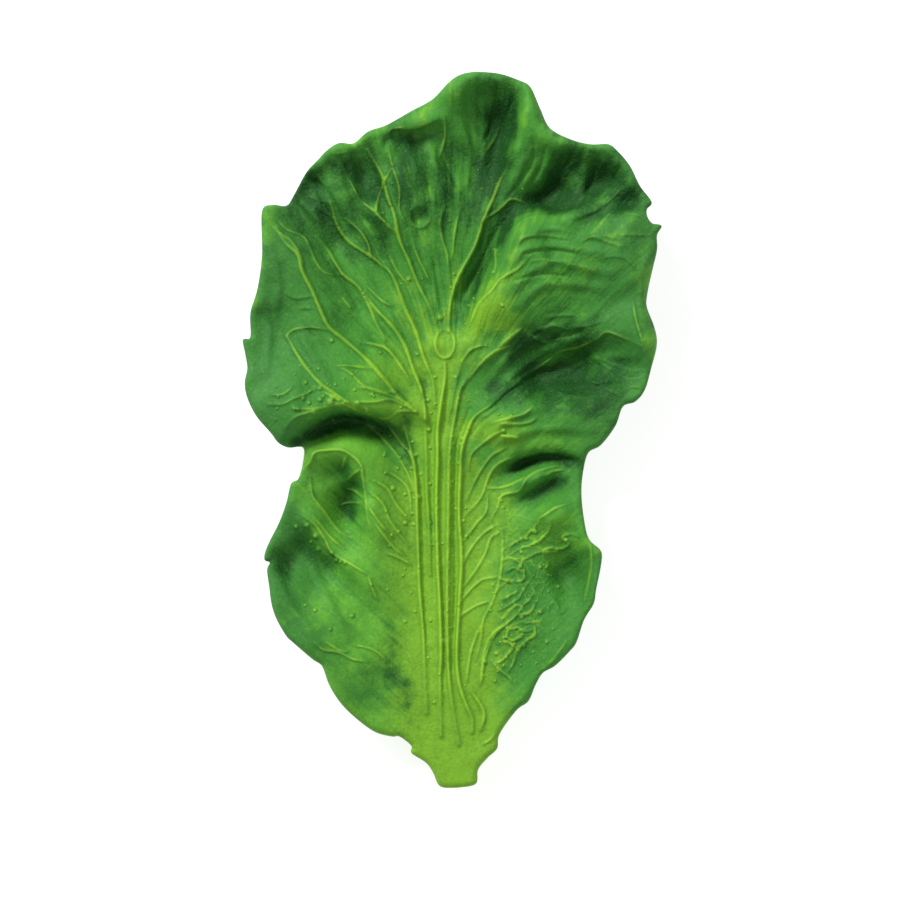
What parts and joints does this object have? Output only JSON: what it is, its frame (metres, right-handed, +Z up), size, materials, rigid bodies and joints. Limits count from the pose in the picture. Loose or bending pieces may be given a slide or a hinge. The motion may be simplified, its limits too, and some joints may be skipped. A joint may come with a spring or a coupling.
{
  "type": "kale leaf",
  "caption": "Kale leaf moulded in soft rubber: stem, grooved midrib, veined blade with folded lobes and a ruffled margin, lying on its back.",
  "frame": {"origin": "below the middle of the leaf's bounding box, in the plane that the leaf rests on", "axes": "+Y from the stem's cut end towards the leaf's tip, +Z up out of the veined face, +X to the right seen from above"},
  "size_m": [0.0865, 0.1498, 0.0186],
  "materials": {
    "leaf_rubber": "matte, hand painted in greens"
  },
  "bodies": {
    "root": {"kale_leaf": "leaf_rubber"}
  },
  "joints": []
}
